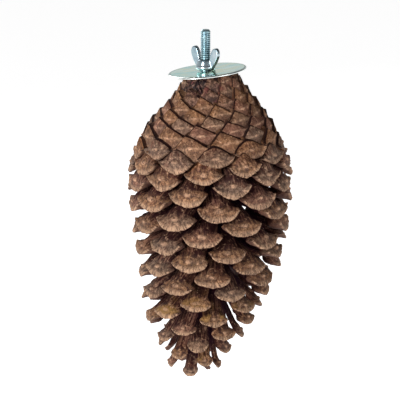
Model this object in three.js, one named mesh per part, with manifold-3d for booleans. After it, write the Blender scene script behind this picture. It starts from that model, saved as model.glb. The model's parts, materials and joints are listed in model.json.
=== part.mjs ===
// An open pine cone that hangs tip down from a hanger bolt, with a fender washer and a wing nut.
// Millimetres, +Z up. The origin is on the bolt's axis, where the washer's underside crosses it.
// A level is a distance below the origin. A bearing is an angle seen from above, from the front (-Y)
// round to the right (+X).
import * as THREE from 'three';
import { mergeVertices } from 'three/addons/utils/BufferGeometryUtils.js';
import Module from 'manifold-3d';

const wasm = await Module();
wasm.setup();

// Clearance between pieces that touch
const GAP = 0.3;

// The cone: outline and centre line by level
const CONE_LENGTH = 207;
const CONE_RADIUS = [
  [0, 16], [12, 23.5], [25, 34], [38, 43.5], [51, 50.5], [70, 53.4], [98, 51],
  [132, 46], [159, 38.4], [180, 27], [194, 19.3], [200, 11], [CONE_LENGTH, 3],
];
const CENTRE_LINE = [
  [0, 3.5], [15, 5], [40, 3.2], [118, 2.6], [145, -1], [166, -3.8], [194, -7], [CONE_LENGTH, -7.3],
];
const RACHIS_RADIUS = [[0, 12.5], [10, 13], [24, 12], [60, 10], [100, 9], [150, 7], [180, 4], [190, 2.5]];
// Within the shut crown the scales' plates are grown together round the rachis
const CORE_RADIUS = [
  [0, 13], [12, 18.5], [25, 26.5], [38, 33], [45, 31], [56, 13], [70, 9.8], [100, 9], [150, 7], [180, 4],
  [190, 2.5],
];
const CORE_RINGS = 14;
const CORE_SIDES = 14;

// The scales, numbered from the crown to the tip
const SCALE_COUNT = 206;
const GOLDEN_TURN = THREE.MathUtils.radToDeg(Math.PI * (3 - Math.sqrt(5)));
const FRONT_SCALE = 110;
const FRONT_BEARING = 15.8;
const TWIST = 0.153;
const TWIST_CHANGE = -0.0011;
const SCALE_LEVEL = [
  [0, 1.5], [47, 24.3], [80, 40.4], [110, 63.5], [140, 102], [170, 142.5], [195, 181], [206, 201],
];
const SCALE_WIDTH = [
  [0, 9.5], [40, 13.5], [68, 17], [89, 20.5], [110, 24], [128, 25], [150, 23], [170, 19.5], [190, 15], [206, 10],
];
// Slope of a scale's outer face, and of its plate, in degrees below level
const FACE_SLOPE = [
  [0, 52], [60, 58], [80, 67], [95, 73], [110, 72], [130, 65], [155, 55], [178, 54], [192, 64], [206, 78],
];
const PLATE_SLOPE = [[0, 2], [40, 12], [80, 20], [110, 17], [150, 22], [175, 36], [190, 56], [206, 72]];
// Where a scale's boss stands, as a share of the cone's radius
const BOSS_REACH = [[0, 0.98], [80, 0.985], [105, 0.985], [140, 0.955], [170, 0.915], [206, 0.87]];
const FRONT_SHARE = 0.32;
const REAR_SHARE = 0.36;
const KEEL_SHARE = 0.11;
const ROOT_SHARE = 0.5;
const ROOT_WIDTH_SHARE = 0.3;
const ROOT_THICKNESS = 4;
// Scales before this number are small four-cornered pyramids
const FIRST_ROUNDED = 92;
// The crown is shut: each face there fills its cell among the scales 8 and 13 numbers away, less a crack,
// with its lower end tilted in under its upper one. The crown opens between these two numbers.
const LAST_SHUT = 72;
const FIRST_OPEN = 104;
const CELL_FILL = 0.94;
const CELL_TILT = THREE.MathUtils.degToRad(12);
const NEIGHBOURS = [8, 13];
// The patch by the washer where scales are torn off short
const TORN_BEARING = -32;
const TORN_SPREAD = 27;
const TORN_LEVEL = 11.5;
const TORN_REACH = 0.88;

// The hanger bolt: a machine thread above, a wood screw below
const BOLT_RADIUS = 3.175;
const BOLT_TOP = 27.6;
const MACHINE_PITCH = 1.27;
const MACHINE_DEPTH = 0.75;
const MACHINE_END = -6;
const SHANK_END = -13;
const SCREW_RADIUS = 3.05;
const SCREW_PITCH = 2.6;
const SCREW_DEPTH = 0.85;
const BOLT_END = -46;
const POINT_LENGTH = 8;
const THREAD_SIDES = 12;
const CHAMFER = 0.9;
const CREST_CLEAR = 0.1;

// The washer, which leans with the uneven crown that it is drawn down on
const WASHER_RADIUS = 25.4;
const WASHER_HOLE = 4.75;
const WASHER_THICKNESS = 1.5;
const WASHER_LEAN = THREE.MathUtils.degToRad(-5.8);
const WASHER_SHIFT = 1.2;
const RIM_ROLL = 1.1;

// The wing nut
const NUT_RADIUS = 6.3;
const NUT_TOP_RADIUS = 4.9;
const NUT_HEIGHT = 6.2;
const WING_SPAN = 22.4;
const WING_HEIGHT = 14;
const WING_THICKNESS = 2.9;
const WING_BEARING = THREE.MathUtils.degToRad(-42);
const ROUND_SIDES = 40;

// Smooth value at x through a list of [x, value] points
function along(points, x) {
  const last = points.length - 1;
  if (x <= points[0][0]) return points[0][1];
  if (x >= points[last][0]) return points[last][1];
  const i = points.findIndex(([knot]) => knot > x) - 1;
  const slope = (k) => {
    const a = Math.max(k - 1, 0);
    const b = Math.min(k + 1, last);
    return (points[b][1] - points[a][1]) / (points[b][0] - points[a][0]);
  };
  const [x0, y0] = points[i];
  const [x1, y1] = points[i + 1];
  const h = x1 - x0;
  const t = (x - x0) / h;
  const rise = (1 + 2 * t) * (1 - t) ** 2 * y0 + t * t * (3 - 2 * t) * y1;
  return rise + t * (1 - t) ** 2 * h * slope(i) - t * t * (1 - t) * h * slope(i + 1);
}

// Repeatable random numbers from 0 to 1
function randomSource(seed) {
  let state = seed;
  return () => {
    state = (Math.imul(state, 1664525) + 1013904223) >>> 0;
    return state / 4294967296;
  };
}

function solidFrom(points, faces) {
  const vertProperties = new Float32Array(points.flatMap((p) => [p.x, p.y, p.z]));
  const triVerts = new Uint32Array(faces.flat());
  return new wasm.Manifold(new wasm.Mesh({ numProp: 3, vertProperties, triVerts }));
}

function solidOf(geometry) {
  const bare = geometry.clone();
  bare.deleteAttribute('normal');
  bare.deleteAttribute('uv');
  const merged = mergeVertices(bare, 1e-4);
  return new wasm.Manifold(new wasm.Mesh({
    numProp: 3,
    vertProperties: Float32Array.from(merged.attributes.position.array),
    triVerts: Uint32Array.from(merged.index.array),
  }));
}

function geometryOf(solid) {
  const mesh = solid.getMesh();
  const geometry = new THREE.BufferGeometry();
  geometry.setAttribute('position', new THREE.BufferAttribute(Float32Array.from(mesh.vertProperties), 3));
  geometry.setIndex(new THREE.BufferAttribute(Uint32Array.from(mesh.triVerts), 1));
  geometry.computeVertexNormals();
  return geometry;
}

// A LatheGeometry stands on +Y, so it is turned up to +Z
function turned(profile, sides) {
  const points = profile.map(([r, z]) => new THREE.Vector2(r, z));
  return new THREE.LatheGeometry(points, sides).rotateX(Math.PI / 2);
}

// The largest outer skin of a solid, so that a hollow sealed by joining is filled
function filled(solid) {
  const bodies = solid.decompose();
  return bodies.reduce((best, body) => (body.volume() > best.volume() ? body : best));
}

// A tube of rings capped at both ends; each ring is a loop of points, top ring first
function ringSolid(rings) {
  const sides = rings[0].length;
  const points = rings.flat();
  const faces = [];
  for (let j = 0; j < rings.length - 1; j += 1) {
    for (let i = 0; i < sides; i += 1) {
      const a = j * sides + i;
      const b = j * sides + ((i + 1) % sides);
      faces.push([a, a + sides, b], [b, a + sides, b + sides]);
    }
  }
  const bottom = (rings.length - 1) * sides;
  for (let i = 1; i < sides - 1; i += 1) {
    faces.push([0, i, i + 1], [bottom, bottom + i + 1, bottom + i]);
  }
  return solidFrom(points, faces);
}

function bearingVectors(degrees) {
  const a = THREE.MathUtils.degToRad(degrees);
  return {
    outward: new THREE.Vector3(Math.sin(a), -Math.cos(a), 0),
    sideways: new THREE.Vector3(Math.cos(a), Math.sin(a), 0),
  };
}

function onCentreLine(level) {
  return new THREE.Vector3(along(CENTRE_LINE, level), 0, -level);
}

function core() {
  const end = CORE_RADIUS[CORE_RADIUS.length - 1][0];
  const rings = [];
  for (let j = 0; j <= CORE_RINGS; j += 1) {
    const level = -3 + ((end + 3) * j) / CORE_RINGS;
    const ring = [];
    for (let i = 0; i < CORE_SIDES; i += 1) {
      const { outward } = bearingVectors((360 * i) / CORE_SIDES);
      ring.push(onCentreLine(level).addScaledVector(outward, along(CORE_RADIUS, level)));
    }
    rings.push(ring);
  }
  return ringSolid(rings);
}

function scaleBearing(number) {
  const n = number - FRONT_SCALE;
  return FRONT_BEARING + GOLDEN_TURN * n + TWIST * n + TWIST_CHANGE * n * n;
}

function isTorn(number) {
  const away = THREE.MathUtils.euclideanModulo(scaleBearing(number) - TORN_BEARING + 180, 360) - 180;
  return Math.abs(away) < TORN_SPREAD && along(SCALE_LEVEL, number) < TORN_LEVEL;
}

function bossDistance(number) {
  return along(CONE_RADIUS, along(SCALE_LEVEL, number)) * along(BOSS_REACH, number);
}

function bossPlace(number) {
  const { outward } = bearingVectors(scaleBearing(number));
  return onCentreLine(along(SCALE_LEVEL, number)).addScaledVector(outward, bossDistance(number));
}

// The down and sideways diagonals of a scale's cell in the shut crown
function cellDiagonals(number) {
  const [near, far] = NEIGHBOURS.map((step) => {
    const before = number >= step ? number - step : number;
    return bossPlace(number + step).sub(bossPlace(before)).divideScalar(number >= step ? 2 : 1);
  });
  const downward = near.clone().add(far).multiplyScalar(CELL_FILL);
  const across = near.clone().sub(far).multiplyScalar(CELL_FILL);
  const inward = new THREE.Vector3().crossVectors(across, downward).setLength(downward.length());
  downward.multiplyScalar(Math.cos(CELL_TILT)).addScaledVector(inward, Math.sin(CELL_TILT));
  return { downward, across };
}

// One scale: a four-sided root inside the rachis widens to a rounded rhombic face with a raised boss
function scaleSolid(number, random) {
  const vary = (amount) => (random() * 2 - 1) * amount;
  const level = along(SCALE_LEVEL, number);
  const width = along(SCALE_WIDTH, number) * (1 + vary(0.05));
  const { outward, sideways } = bearingVectors(scaleBearing(number) + vary(1.2));
  const down = new THREE.Vector3(0, 0, -1);
  const sloped = (degrees) => {
    const a = THREE.MathUtils.degToRad(degrees);
    return outward.clone().multiplyScalar(Math.cos(a)).addScaledVector(down, Math.sin(a));
  };
  const face = sloped(along(FACE_SLOPE, number) + vary(3)).multiplyScalar(width);
  const side = sideways.clone().multiplyScalar(width);
  const shut = 1 - THREE.MathUtils.smoothstep(number, LAST_SHUT, FIRST_OPEN);
  if (shut > 0) {
    const { downward, across } = cellDiagonals(number);
    face.lerp(downward, shut);
    side.lerp(across, shut);
  }
  const normal = new THREE.Vector3().crossVectors(face, side).setLength(width);
  const plateSlope = along(PLATE_SLOPE, number);
  const reach = bossDistance(number) * (isTorn(number) ? TORN_REACH : 1);
  const boss = onCentreLine(level).addScaledVector(outward, reach);

  const run = reach - along(RACHIS_RADIUS, level) * ROOT_SHARE;
  const rootLevel = level - run * Math.tan(THREE.MathUtils.degToRad(plateSlope));
  const rootRadius = along(RACHIS_RADIUS, rootLevel) * ROOT_SHARE;
  const heart = onCentreLine(rootLevel).addScaledVector(outward, rootRadius);
  const rootNormal = sloped(plateSlope - 90);

  const front = THREE.MathUtils.lerp(FRONT_SHARE, 0.5, shut);
  const rear = THREE.MathUtils.lerp(REAR_SHARE, 0.5, shut);
  const keel = KEEL_SHARE;
  const half = 0.5;
  const at = (u, v, w) => boss.clone().addScaledVector(face, u).addScaledVector(side, v)
    .addScaledVector(normal, w);
  const rootAt = (v, w) => heart.clone().addScaledVector(sideways, v).addScaledVector(rootNormal, w);
  const rootHalf = width * ROOT_WIDTH_SHARE / 2;
  const corners = [
    at(front, 0, -keel),
    at(0, half, -keel * 0.75),
    at(-rear, 0, -keel * 0.9),
    at(0, -half, -keel * 0.75),
  ];
  const between = [
    at(front * 0.66, half * 0.6, -keel),
    at(-rear * 0.55, half * 0.62, -keel * 1.1),
    at(-rear * 0.55, -half * 0.62, -keel * 1.1),
    at(front * 0.66, -half * 0.6, -keel),
  ];
  const roots = [rootAt(0, -ROOT_THICKNESS / 2), rootAt(rootHalf, 0), rootAt(0, ROOT_THICKNESS / 2),
    rootAt(-rootHalf, 0)];
  const rounded = number >= FIRST_ROUNDED;
  const rim = corners.flatMap((corner, i) => (rounded ? [corner, between[i]] : [corner]));
  const points = [boss, ...rim, ...roots];
  const step = rounded ? 2 : 1;
  const faces = rim.map((_, i) => [0, i + 1, ((i + 1) % rim.length) + 1]);
  for (let i = 0; i < 4; i += 1) {
    const root = rim.length + 1 + i;
    const nextRoot = rim.length + 1 + ((i + 1) % 4);
    const corner = i * step + 1;
    const nextCorner = ((i + 1) % 4) * step + 1;
    if (rounded) faces.push([corner, root, corner + 1], [corner + 1, root, nextRoot]);
    else faces.push([corner, root, nextRoot]);
    faces.push([rounded ? corner + 1 : corner, nextRoot, nextCorner]);
  }
  const base = rim.length + 1;
  faces.push([base + 2, base + 1, base], [base + 2, base, base + 3]);
  return solidFrom(points, faces);
}

// Everything above the washer's underside, less the gap, within the crown's reach
function spaceOfWasher() {
  const side = 4 * WASHER_RADIUS;
  const space = new THREE.BoxGeometry(side, side, side);
  space.translate(0, 0, side / 2 - GAP);
  return solidOf(space.rotateY(WASHER_LEAN).translate(WASHER_SHIFT, 0, 0));
}

function boreOfBolt() {
  const radius = (BOLT_RADIUS + GAP) / Math.cos(Math.PI / ROUND_SIDES);
  return solidOf(turned([[0, BOLT_END - 1], [radius, BOLT_END - 1], [radius, 10], [0, 10]], ROUND_SIDES));
}

function pineCone() {
  const random = randomSource(11);
  const pieces = [core()];
  for (let number = 0; number < SCALE_COUNT; number += 1) {
    pieces.push(scaleSolid(number, random));
  }
  const grown = filled(wasm.Manifold.union(pieces));
  const cut = filled(grown.subtract(spaceOfWasher()).subtract(boreOfBolt()));
  return geometryOf(cut);
}

// A bar with a helical ridge; rows follow the helix, so the thread runs true from end to end
function threadedBar(low, high, crest, depth, pitch) {
  const steps = Math.ceil(((high - low) / pitch + 2) * 2);
  const rings = [];
  for (let j = steps; j >= 0; j -= 1) {
    const radius = j % 2 ? crest : crest - depth;
    const ring = [];
    for (let i = 0; i < THREAD_SIDES; i += 1) {
      const turn = i / THREAD_SIDES;
      const angle = turn * 2 * Math.PI;
      const z = low - pitch + (j / 2 + turn) * pitch;
      ring.push(new THREE.Vector3(Math.cos(angle) * radius, Math.sin(angle) * radius, z));
    }
    rings.push(ring);
  }
  return helixSolid(rings);
}

// Rings whose loop closes one ring higher, capped at both ends by a fan from the axis
function helixSolid(rings) {
  const sides = rings[0].length;
  const points = rings.flat();
  const last = rings.length - 1;
  const faces = [];
  const index = (j, i) => (i < sides ? j * sides + i : (j - 2) * sides);
  for (let j = 2; j < last; j += 1) {
    for (let i = 0; i < sides; i += 1) {
      const [a, b, c, d] = [index(j, i), index(j + 1, i), index(j, i + 1), index(j + 1, i + 1)];
      faces.push([a, b, c], [c, b, d]);
    }
  }
  const topLoop = [0, 1].map((j) => j * sides);
  const rim = (start, list) => {
    const axis = points.push(new THREE.Vector3(0, 0, points[start].z)) - 1;
    list.forEach(([a, b]) => faces.push([axis, a, b]));
  };
  const top = [];
  for (let i = 0; i < sides; i += 1) top.push([index(2, i), index(2, i + 1)]);
  top.push([topLoop[0], topLoop[1]], [topLoop[1], index(2, 0)]);
  rim(top[0][0], top);
  const bottom = [];
  for (let i = 0; i < sides; i += 1) bottom.push([index(last, i + 1), index(last, i)]);
  bottom.push([(last - 1) * sides, (last - 2) * sides], [last * sides, (last - 1) * sides]);
  rim(last * sides, bottom);
  return solidFrom(points, faces);
}

function threadedStud() {
  const machine = threadedBar(MACHINE_END, BOLT_TOP, BOLT_RADIUS, MACHINE_DEPTH, MACHINE_PITCH);
  const outside = BOLT_RADIUS + CREST_CLEAR;
  const machineEnvelope = solidOf(turned([
    [0, MACHINE_END], [outside, MACHINE_END], [outside, BOLT_TOP - CHAMFER],
    [outside - CHAMFER, BOLT_TOP], [0, BOLT_TOP],
  ], THREAD_SIDES));
  const shankRadius = BOLT_RADIUS - MACHINE_DEPTH / 2;
  const shank = solidOf(turned([
    [0, SHANK_END - 1], [shankRadius - 0.2, SHANK_END - 1], [shankRadius, MACHINE_END + 1],
    [0, MACHINE_END + 1],
  ], THREAD_SIDES));
  const screw = threadedBar(BOLT_END, SHANK_END, SCREW_RADIUS, SCREW_DEPTH, SCREW_PITCH);
  const screwOutside = SCREW_RADIUS + CREST_CLEAR;
  const screwEnvelope = solidOf(turned([
    [0, BOLT_END], [0.4, BOLT_END], [screwOutside, BOLT_END + POINT_LENGTH],
    [screwOutside, SHANK_END], [0, SHANK_END],
  ], THREAD_SIDES));
  const solid = machine.intersect(machineEnvelope).add(shank).add(screw.intersect(screwEnvelope));
  return geometryOf(filled(solid));
}

function washer() {
  const low = WASHER_RADIUS - RIM_ROLL;
  const profile = [
    [WASHER_HOLE, 0], [low, 0], [WASHER_RADIUS - 0.2, 0.4], [WASHER_RADIUS, 0.8],
    [WASHER_RADIUS - 0.4, 1.25], [low, WASHER_THICKNESS], [WASHER_HOLE + 0.3, WASHER_THICKNESS],
    [WASHER_HOLE, WASHER_THICKNESS - 0.3], [WASHER_HOLE, 0],
  ];
  return geometryOf(solidOf(turned(profile, ROUND_SIDES)));
}

// One wing's outline in its own plane: x outward from the bolt's axis, y up from the nut's base
function wingOutline() {
  const shape = new THREE.Shape();
  shape.moveTo(3.6, 0.8);
  shape.lineTo(6.2, 1.2);
  shape.bezierCurveTo(8.2, 2.6, 10.2, 5, 11.7, 7.8);
  shape.bezierCurveTo(13.2, 10.6, 11.8, WING_HEIGHT + 0.1, 9.5, WING_HEIGHT);
  shape.bezierCurveTo(7.6, WING_HEIGHT - 0.2, 6.4, 11.8, 5.8, 9.6);
  shape.lineTo(4.8, 6);
  shape.lineTo(3.6, 5.2);
  return shape;
}

function wingNut() {
  const barrel = solidOf(turned([
    [0, 0], [NUT_RADIUS - 0.4, 0], [NUT_RADIUS, 0.5], [NUT_RADIUS, 1.8], [NUT_TOP_RADIUS, NUT_HEIGHT - 0.5],
    [NUT_TOP_RADIUS - 0.5, NUT_HEIGHT], [0, NUT_HEIGHT],
  ], ROUND_SIDES));
  const wing = new THREE.ExtrudeGeometry(wingOutline(), {
    depth: WING_THICKNESS - 0.8, curveSegments: 6, bevelEnabled: true, bevelThickness: 0.4,
    bevelSize: 0.35, bevelOffset: -0.35, bevelSegments: 1,
  });
  wing.translate(0, 0, -(WING_THICKNESS - 0.8) / 2).rotateX(Math.PI / 2);
  wing.scale((WING_SPAN / 2) / 12.2, 1, 1);
  const right = solidOf(wing);
  const left = solidOf(wing.clone().rotateZ(Math.PI));
  const boreRadius = (BOLT_RADIUS + GAP) / Math.cos(Math.PI / ROUND_SIDES);
  const bore = solidOf(turned([
    [0, -1], [boreRadius, -1], [boreRadius, WING_HEIGHT + 2], [0, WING_HEIGHT + 2],
  ], ROUND_SIDES));
  const nut = barrel.add(right).add(left).subtract(bore);
  return geometryOf(filled(nut));
}

function coneWood() {
  return new THREE.MeshStandardMaterial({ color: 0x7a5a44, roughness: 0.85, metalness: 0 });
}

function zincPlate() {
  return new THREE.MeshStandardMaterial({ color: 0xb9c4c6, roughness: 0.25, metalness: 1 });
}

function named(name, geometry, material) {
  const mesh = new THREE.Mesh(geometry, material);
  mesh.name = name;
  return mesh;
}

const hungCone = new THREE.Group();
hungCone.add(named('pine_cone', pineCone(), coneWood()));
hungCone.add(named('threaded_stud', threadedStud(), zincPlate()));

const leaningWasher = named('washer', washer(), zincPlate());
leaningWasher.rotation.y = WASHER_LEAN;
leaningWasher.position.x = WASHER_SHIFT;
hungCone.add(leaningWasher);

// The nut stands on the high side of the leaning washer
const nut = named('wing_nut', wingNut(), zincPlate());
const nutBase = WASHER_THICKNESS / Math.cos(WASHER_LEAN) + (NUT_RADIUS - WASHER_SHIFT) * Math.tan(-WASHER_LEAN) + GAP;
nut.position.z = nutBase;
nut.rotation.z = WING_BEARING;
hungCone.add(nut);

export default hungCone;
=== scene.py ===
import json
import math

import bmesh
import bpy
import numpy as np
from mathutils import Matrix, Vector

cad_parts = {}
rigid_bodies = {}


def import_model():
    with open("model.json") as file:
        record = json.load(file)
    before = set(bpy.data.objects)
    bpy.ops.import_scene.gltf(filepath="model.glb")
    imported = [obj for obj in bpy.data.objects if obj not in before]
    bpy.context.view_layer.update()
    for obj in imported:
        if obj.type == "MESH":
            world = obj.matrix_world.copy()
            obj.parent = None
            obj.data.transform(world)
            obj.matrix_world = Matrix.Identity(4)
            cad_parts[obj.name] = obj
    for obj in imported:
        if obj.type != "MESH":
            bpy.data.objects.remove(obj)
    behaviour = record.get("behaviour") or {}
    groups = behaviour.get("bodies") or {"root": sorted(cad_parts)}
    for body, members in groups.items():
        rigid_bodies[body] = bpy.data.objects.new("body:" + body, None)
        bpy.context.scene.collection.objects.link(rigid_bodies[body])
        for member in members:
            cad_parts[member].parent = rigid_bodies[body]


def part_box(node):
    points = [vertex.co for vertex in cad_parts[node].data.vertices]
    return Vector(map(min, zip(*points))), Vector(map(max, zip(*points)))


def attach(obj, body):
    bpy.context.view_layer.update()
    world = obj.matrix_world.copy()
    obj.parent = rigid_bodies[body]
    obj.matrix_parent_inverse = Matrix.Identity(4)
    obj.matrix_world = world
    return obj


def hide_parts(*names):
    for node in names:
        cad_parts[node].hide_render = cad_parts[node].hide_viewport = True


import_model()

bl_info = {
    "name": "Hanging pine cone",
    "version": (1, 0, 0),
    "blender": (4, 5, 0),
    "location": "3D View > Sidebar > Pine cone",
    "description": "Grows an open pine cone scale by scale and hangs it from its stud, washer and wing nut",
    "category": "Object",
}

MM = 0.001

# The cone's rule, in millimetres: radius, centre line and rachis by level below the washer's underside
CONE_LENGTH = 207
CONE_RADIUS = (
    (0, 16), (12, 23.5), (25, 34), (38, 43.5), (51, 50.5), (70, 53.4), (98, 51),
    (132, 46), (159, 38.4), (180, 27), (194, 19.3), (200, 11), (CONE_LENGTH, 3),
)
CENTRE_LINE = (
    (0, 3.5), (15, 5), (40, 3.2), (118, 2.6), (145, -1), (166, -3.8), (194, -7), (CONE_LENGTH, -7.3),
)
RACHIS_RADIUS = ((0, 12.5), (10, 13), (24, 12), (60, 10), (100, 9), (150, 7), (180, 4), (190, 2.5))
CORE_RADIUS = (
    (0, 13), (12, 18), (25, 26), (38, 32), (45, 29), (56, 12), (70, 9.6), (100, 9), (150, 8), (180, 6),
    (190, 4.5),
)

# The scales, numbered from the crown to the tip
SCALE_COUNT = 206
GOLDEN_TURN = math.degrees(math.pi * (3 - math.sqrt(5)))
FRONT_SCALE = 110
FRONT_BEARING = 15.8
TWIST = 0.153
TWIST_CHANGE = -0.0011
SCALE_LEVEL = (
    (0, 1.5), (47, 24.3), (80, 40.4), (110, 63.5), (140, 102), (170, 142.5), (195, 181), (206, 201),
)
SCALE_WIDTH = (
    (0, 9.5), (40, 13.5), (68, 17), (89, 20.5), (110, 24), (128, 25), (150, 23), (170, 19.5), (190, 15),
    (206, 10),
)
FACE_SLOPE = (
    (0, 52), (60, 58), (80, 67), (95, 73), (110, 72), (130, 65), (155, 55), (178, 54), (192, 64), (206, 78),
)
PLATE_SLOPE = ((0, 2), (40, 12), (80, 20), (110, 17), (150, 22), (175, 36), (190, 56), (206, 72))
BOSS_REACH = ((0, 0.98), (80, 0.985), (105, 0.985), (140, 0.955), (170, 0.915), (206, 0.87))
LAST_SHUT = 72
FIRST_OPEN = 104
CELL_FILL = 1.05
CELL_TILT = math.radians(12)
NEIGHBOURS = (8, 13)
ROOT_SHARE = 0.5
TORN_BEARING = -32
TORN_SPREAD = 27
TORN_LEVEL = 11.5
TORN_REACH = 0.9
# Beside the torn patch the scales are frayed and darkened, partly by painted shadow
FRAYED_SHADOW_BEARING = -13
FRAYED_SHADOW_SPREAD = 50
FRAYED_SHADOW_LEVEL = 22
SHUT_BEFORE = 84
LOOSE_FROM = 112
HOODED_FROM = 148
TIP_FROM = 188

# The hardware, in millimetres
BOLT_RADIUS = 3.175
BOLT_TOP = 27.6
MACHINE_PITCH = 1.27
MACHINE_END = -6
SCREW_RADIUS = 3.05
SCREW_DEPTH = 0.85
SCREW_PITCH = 2.6
BOLT_END = -46
WASHER_RADIUS = 25.4
WASHER_HOLE = 4.75
WASHER_THICKNESS = 1.5
WASHER_LEAN = math.radians(-5.8)
WASHER_SHIFT = 1.2
NUT_RADIUS = 6.3
NUT_TOP_RADIUS = 4.9
NUT_HEIGHT = 6.2
NUT_BORE = 3.45
WING_SPAN = 22.4
WING_HEIGHT = 14
WING_THICKNESS = 2.9
WING_BEARING = math.radians(-42)

# The camera, and where the stud's foot falls in the photograph, in pixels from its upper left corner
CAMERA_PITCH = math.radians(14)
PHOTO_SIZE = 400
STUD_FOOT_PIXEL = (205.5, 72.2)
WHITE = (1.0, 1.0, 1.0, 1.0)


def along(points, x):
    """Smooth value at x through a list of (x, value) points."""
    last = len(points) - 1
    if x <= points[0][0]:
        return points[0][1]
    if x >= points[last][0]:
        return points[last][1]
    i = next(k for k, point in enumerate(points) if point[0] > x) - 1

    def slope(k):
        a, b = max(k - 1, 0), min(k + 1, last)
        return (points[b][1] - points[a][1]) / (points[b][0] - points[a][0])

    (x0, y0), (x1, y1) = points[i], points[i + 1]
    h = x1 - x0
    t = (x - x0) / h
    rise = (1 + 2 * t) * (1 - t) ** 2 * y0 + t * t * (3 - 2 * t) * y1
    return rise + t * (1 - t) ** 2 * h * slope(i) - t * t * (1 - t) * h * slope(i + 1)


def draws(seed):
    """Repeatable random numbers from 0 to 1."""
    state = seed
    while True:
        state = (state * 1664525 + 1013904223) % 4294967296
        yield state / 4294967296


def smooth(x):
    x = np.clip(x, 0, 1)
    return x * x * (3 - 2 * x)


# Node trees

class Tree:
    """Adds and wires the nodes of one tree in short calls."""

    def __init__(self, tree):
        self.tree = tree

    def add(self, kind, *values, out=None, **settings):
        node = self.tree.nodes.new(kind)
        for name, value in settings.items():
            setattr(node, name, value)
        sockets = [socket for socket in node.inputs if socket.enabled]
        for socket, value in zip(sockets, values):
            self.feed(socket, value)
        outputs = [socket for socket in node.outputs if socket.enabled]
        return next(socket for socket in outputs if out in (None, socket.name))

    def feed(self, socket, value):
        if isinstance(value, bpy.types.NodeSocket):
            self.tree.links.new(value, socket)
        elif value is not None:
            socket.default_value = value

    def wire(self, node, values):
        for name, value in values.items():
            self.feed(node.inputs[name], value)

    def math(self, operation, *values):
        return self.add("ShaderNodeMath", *values, operation=operation)

    def plus(self, a, b):
        return self.math("ADD", a, b)

    def minus(self, a, b):
        return self.math("SUBTRACT", a, b)

    def times(self, product, *factors):
        for factor in factors:
            product = self.math("MULTIPLY", product, factor)
        return product

    def vector(self, operation, *values):
        return self.add("ShaderNodeVectorMath", *values, operation=operation)

    def scaled(self, vector, amount):
        result = self.vector("SCALE", vector)
        self.wire(result.node, {"Scale": amount})
        return result

    def combine(self, *parts):
        return self.add("ShaderNodeCombineXYZ", *parts)

    def split(self, vector):
        return self.add("ShaderNodeSeparateXYZ", vector).node.outputs

    def range(self, value, low, high, to_low=0.0, to_high=1.0):
        return self.add("ShaderNodeMapRange", value, low, high, to_low, to_high)

    def soft(self, value, low, high):
        return self.add("ShaderNodeMapRange", value, low, high, 0.0, 1.0, interpolation_type="SMOOTHSTEP")

    def noise(self, place, size, detail, rough, out="Fac"):
        return self.add("ShaderNodeTexNoise", place, size, detail, rough, out=out)

    def blend(self, share, a, b):
        return self.add("ShaderNodeMix", share, a, b, data_type="RGBA")

    def read(self, name, kind="FLOAT"):
        return self.add("GeometryNodeInputNamedAttribute", name, data_type=kind)

    def attribute(self, name, out="Fac"):
        return self.add("ShaderNodeAttribute", attribute_name=name, out=out)

    def place(self):
        return self.add("ShaderNodeTexCoord", out="Object")


def add_sockets(group, way, sockets):
    """Gives a node group its inputs or outputs, each as (name, kind)."""
    for label, kind in sockets:
        group.interface.new_socket(label, in_out=way, socket_type="NodeSocket" + kind)


def geometry_tree(name, inputs):
    """A Geometry Nodes tree with a geometry in and out and the named inputs given as (name, kind)."""
    group = bpy.data.node_groups.new(name, "GeometryNodeTree")
    add_sockets(group, "INPUT", (("Geometry", "Geometry"), *inputs))
    add_sockets(group, "OUTPUT", (("Geometry", "Geometry"),))
    source = group.nodes.new("NodeGroupInput")
    sink = group.nodes.new("NodeGroupOutput")
    return Tree(group), {socket.name: socket for socket in source.outputs if socket.name}, sink.inputs[0]


def finish_geometry(tree, geometry, material, sink):
    """Every tree ends the same way: one real mesh, with its material."""
    real = tree.add("GeometryNodeRealizeInstances", geometry)
    tree.feed(sink, tree.add("GeometryNodeSetMaterial", real, None, material))


def piece(name, data):
    """A new object of the scene, from its mesh, light or camera."""
    obj = bpy.data.objects.new(name, data)
    bpy.context.scene.collection.objects.link(obj)
    return obj


def grown(name, mesh, group, values):
    """The plain mesh that a Geometry Nodes group makes of a mesh, as a new object."""
    obj = piece(name, mesh)
    modifier = obj.modifiers.new("Growth", "NODES")
    modifier.node_group = group
    for item in group.interface.items_tree:
        if item.in_out == "INPUT" and item.name in values:
            modifier[item.identifier] = values[item.name]
    graph = bpy.context.evaluated_depsgraph_get()
    result = bpy.data.meshes.new_from_object(obj.evaluated_get(graph))
    obj.modifiers.clear()
    obj.data = result
    result.name = name
    return obj


def mesh_of(name, points, faces):
    mesh = bpy.data.meshes.new(name)
    mesh.from_pydata([tuple(point) for point in points], [], [tuple(face) for face in faces])
    return mesh


def store(mesh, name, kind, data):
    """Keeps one value for each vertex of a mesh, under a name."""
    field = "vector" if kind == "FLOAT_VECTOR" else "value"
    mesh.attributes.new(name, kind, "POINT").data.foreach_set(field, np.ravel(data))


def tidy_normals(mesh, weld=0.0):
    """Merges doubles and turns every face of a closed mesh outwards."""
    work = bmesh.new()
    work.from_mesh(mesh)
    if weld:
        bmesh.ops.remove_doubles(work, verts=work.verts, dist=weld)
    bmesh.ops.recalc_face_normals(work, faces=work.faces)
    work.to_mesh(mesh)
    work.free()


def shade(obj, angle=None):
    obj.data.polygons.foreach_set("use_smooth", [True] * len(obj.data.polygons))
    if angle:
        obj.data.set_sharp_from_angle(angle=math.radians(angle))
    obj.data.update()


# Materials

def new_material(name):
    material = bpy.data.materials.new(name)
    material.use_nodes = True
    tree = Tree(material.node_tree)
    return material, tree, material.node_tree.nodes["Principled BSDF"]


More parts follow.
